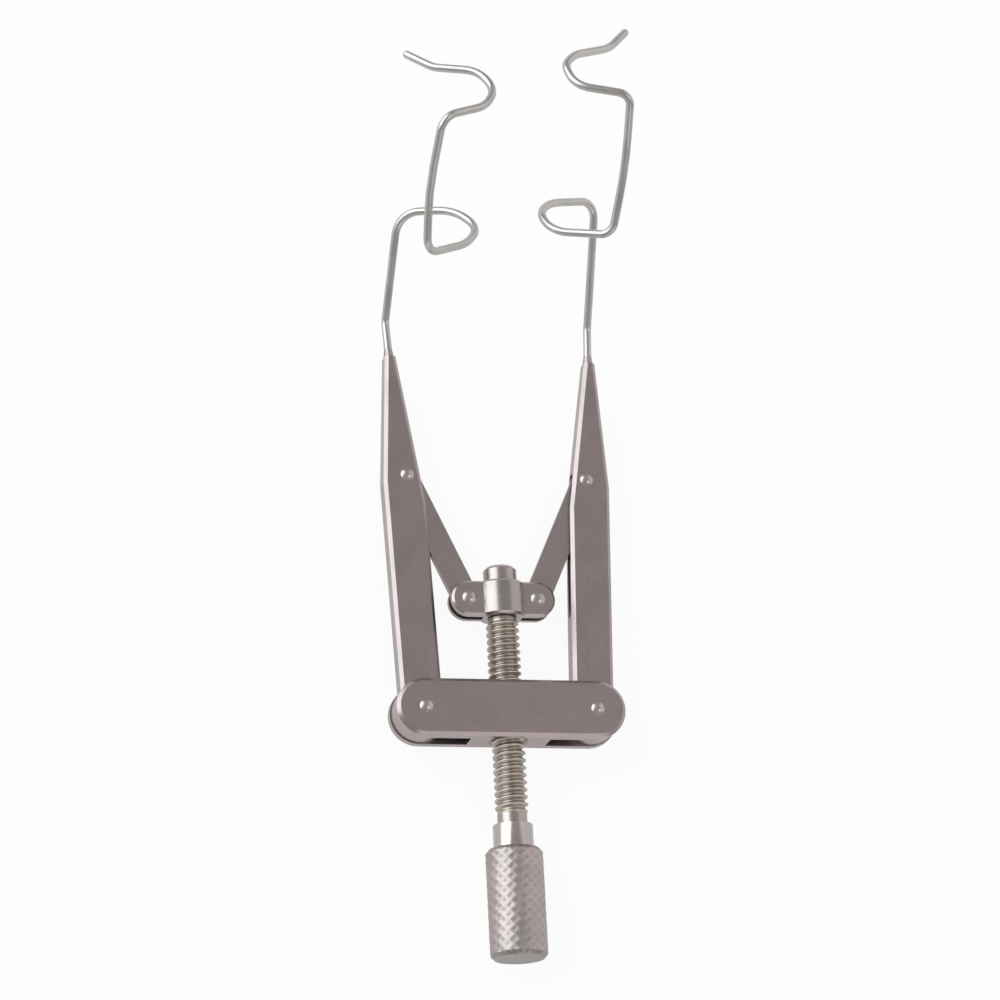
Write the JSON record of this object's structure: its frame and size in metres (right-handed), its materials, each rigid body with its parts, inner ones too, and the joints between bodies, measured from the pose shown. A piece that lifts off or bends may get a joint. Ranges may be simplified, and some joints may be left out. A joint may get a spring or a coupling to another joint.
{
  "type": "self retaining retractor",
  "caption": "Screw-operated eyelid retractor: a knurled knob turns a screw through a yoke, and links spread hinged arms with open wire blades.",
  "frame": {"origin": "on the underside of the yoke, midway between its two pivots", "axes": "+X to the right arm, +Y along the screw towards the wire blades, +Z to the side that faces the patient"},
  "size_m": [0.02, 0.0783, 0.0235],
  "materials": {
    "satin_steel": "satin ground stainless steel",
    "link_steel": "satin rolled stainless strip",
    "thread_steel": "cut thread in stainless steel",
    "turned_steel": "fine turned stainless steel",
    "knurled_steel": "diamond knurled stainless steel",
    "rivet_steel": "polished stainless rivet heads",
    "polished_wire": "polished stainless wire"
  },
  "bodies": {
    "yoke": {"yoke": "satin_steel", "yoke_rivet_left": "rivet_steel", "yoke_rivet_right": "rivet_steel"},
    "crosshead": {"crosshead": "satin_steel", "crosshead_rivet_left": "rivet_steel", "crosshead_rivet_right": "rivet_steel"},
    "screw": {"lead_screw": "thread_steel", "screw_cap": "turned_steel", "knurled_knob": "knurled_steel"},
    "arm_left": {"arm_left": "satin_steel", "arm_rivet_left": "rivet_steel", "wire_blade_left": "polished_wire"},
    "arm_right": {"arm_right": "satin_steel", "arm_rivet_right": "rivet_steel", "wire_blade_right": "polished_wire"},
    "link_left": {"link_left": "link_steel"},
    "link_right": {"link_right": "link_steel"}
  },
  "joints": [
    {"name": "arm_right_hinge", "type": "hinge", "parent": "yoke", "child": "arm_right", "pos_m": [0.00745, 0, 0.0021], "axis": [0, 0, -1], "range_deg": [-2.1, 11.4]},
    {"name": "arm_left_hinge", "type": "hinge", "parent": "yoke", "child": "arm_left", "pos_m": [-0.00745, 0, 0.0021], "axis": [0, 0, 1], "range_deg": [-2.15, 11.5]},
    {"name": "crosshead_slide", "type": "slide", "parent": "yoke", "child": "crosshead", "axis": [0, 1, 0], "range_m": [-0.00044, 0.0024]},
    {"name": "knob_turn", "type": "hinge", "parent": "crosshead", "child": "screw", "pos_m": [0, 0.00991, 0.0021], "axis": [0, 1, 0], "range_deg": [-252, 1360]},
    {"name": "link_left_hinge", "type": "hinge", "parent": "crosshead", "child": "link_left", "pos_m": [-0.003, 0.00991, 0.0021], "axis": [0, 0, 1], "range_deg": [-4.45, 24]},
    {"name": "link_right_hinge", "type": "hinge", "parent": "crosshead", "child": "link_right", "pos_m": [0.003, 0.00991, 0.0021], "axis": [0, 0, -1], "range_deg": [-4.45, 24]}
  ],
  "couplings": [
    {"joint": "arm_left_hinge", "follows": "arm_right_hinge", "ratio": 1},
    {"joint": "crosshead_slide", "follows": "arm_right_hinge", "m_per_rad": 0.011989},
    {"joint": "knob_turn", "follows": "arm_right_hinge", "ratio": 118.63},
    {"joint": "link_left_hinge", "follows": "arm_right_hinge", "ratio": 2.0848},
    {"joint": "link_right_hinge", "follows": "arm_right_hinge", "ratio": 2.0848}
  ]
}
